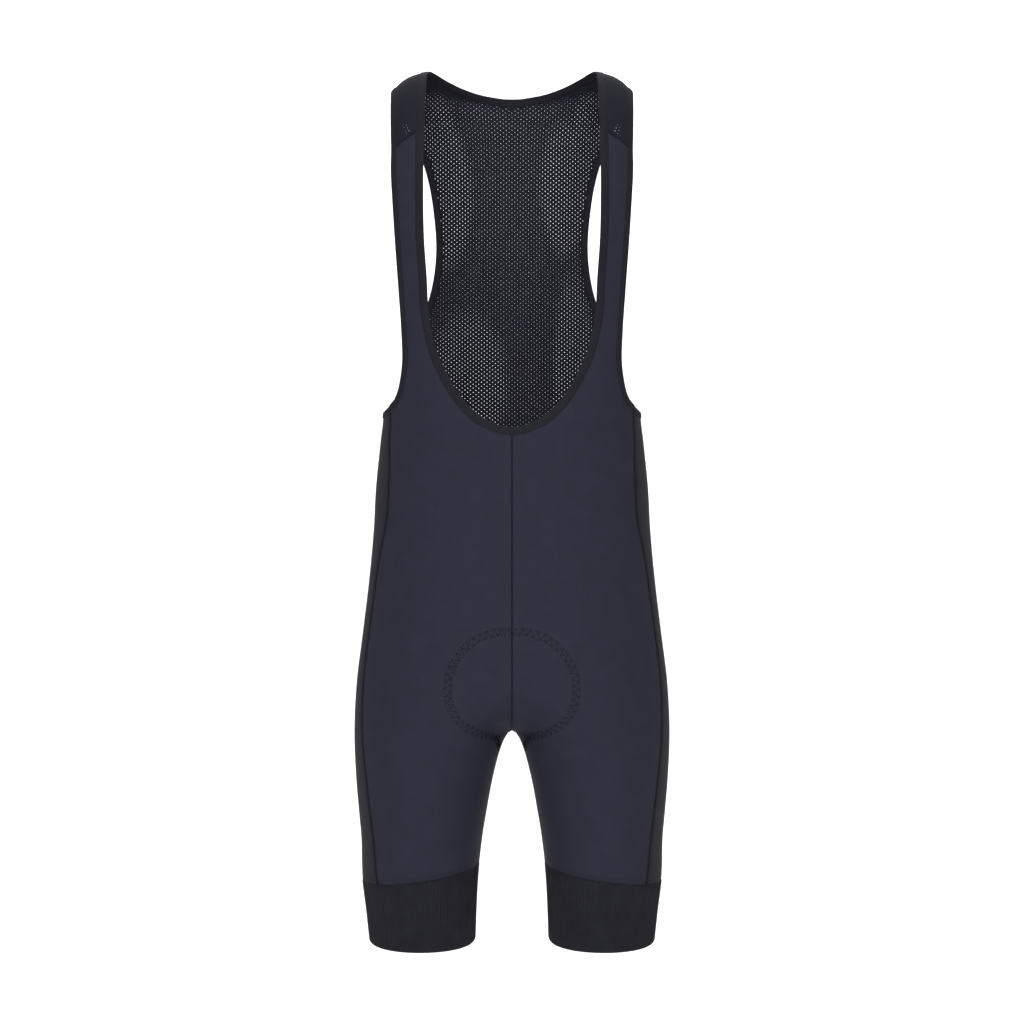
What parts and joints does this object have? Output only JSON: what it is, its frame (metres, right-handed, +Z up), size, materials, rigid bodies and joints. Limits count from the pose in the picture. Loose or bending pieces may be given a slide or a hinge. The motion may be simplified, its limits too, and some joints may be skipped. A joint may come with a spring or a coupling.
{
  "type": "cycling bib shorts",
  "caption": "Close-fitting cycling shorts with a scooped front, shoulder straps, an open mesh back, ribbed leg bands and a stitched seat pad, in their worn form.",
  "frame": {"origin": "on the centre line at the level of the tops of the shoulder straps, where the wearer's shoulders hold the garment", "axes": "+Z up towards the shoulders, -Y out of the front, +X towards the wearer's left"},
  "size_m": [0.339, 0.2297, 0.941],
  "materials": {
    "front_cloth": "smooth stretch knit",
    "side_cloth": "matt stretch knit",
    "back_cloth": "smooth stretch knit",
    "mesh_cloth": "open mesh",
    "binding_cloth": "folded elastic",
    "gripper_cloth": "ribbed elastic",
    "pad_cloth": "foam-backed knit"
  },
  "bodies": {
    "root": {"front_left": "front_cloth", "front_right": "front_cloth", "side_left": "side_cloth", "side_right": "side_cloth", "back_left": "back_cloth", "back_right": "back_cloth", "back_mesh": "mesh_cloth", "neck_binding": "binding_cloth", "armhole_binding_left": "binding_cloth", "armhole_binding_right": "binding_cloth", "gripper_left": "gripper_cloth", "gripper_right": "gripper_cloth", "seat_pad": "pad_cloth"}
  },
  "joints": []
}
